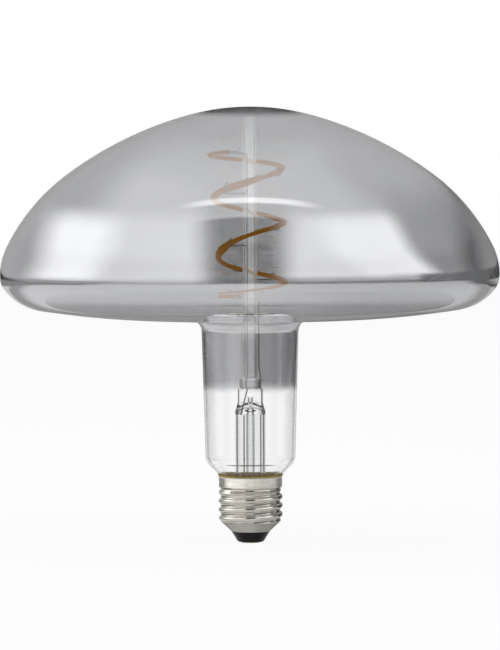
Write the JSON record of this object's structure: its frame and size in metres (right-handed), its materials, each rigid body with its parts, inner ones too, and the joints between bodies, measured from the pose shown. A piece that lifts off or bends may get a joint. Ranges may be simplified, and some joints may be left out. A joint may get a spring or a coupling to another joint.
{
  "type": "mushroom filament bulb",
  "caption": "Large mushroom-shaped decorative bulb with a smoked mirror coating, a spiral filament strip on a glass column and a screw cap.",
  "frame": {"origin": "underside of the centre contact, on the axis of the screw cap", "axes": "+Z along the cap's axis, from the contact up through the neck to the top of the dome; the front of the bulb looks along -Y, with +X to its right in the picture"},
  "size_m": [0.2056, 0.2056, 0.1797],
  "materials": {
    "coated_glass": "polished",
    "clear_glass": "polished",
    "phosphor_silicone": "matte",
    "nickel_wire": "satin",
    "nickel_plate": "polished",
    "black_glass": "gloss",
    "brass_contact": "satin",
    "capping_cement": "matte",
    "board_laminate": "satin",
    "moulding_compound": "matte",
    "capacitor_can": "satin",
    "resistor_coating": "matte",
    "copper_wire": "satin"
  },
  "bodies": {
    "root": {"glass_envelope": "coated_glass", "stem_flare": "clear_glass", "exhaust_tube": "clear_glass", "support_column": "clear_glass", "led_filament": "phosphor_silicone", "upper_filament_tab": "nickel_wire", "lower_filament_tab": "nickel_wire", "upper_lead_wire": "nickel_wire", "lower_lead_wire": "nickel_wire", "support_hook_1": "nickel_wire", "support_hook_2": "nickel_wire", "support_hook_3": "nickel_wire", "support_hook_4": "nickel_wire", "support_hook_5": "nickel_wire", "support_hook_6": "nickel_wire", "cap_shell": "nickel_plate", "cap_insulator": "black_glass", "centre_contact": "brass_contact", "cap_cement": "capping_cement", "driver_board": "board_laminate", "bridge_rectifier": "moulding_compound", "driver_chip": "moulding_compound", "smoothing_capacitor": "capacitor_can", "fuse_resistor": "resistor_coating", "shell_wire": "copper_wire"}
  },
  "joints": []
}
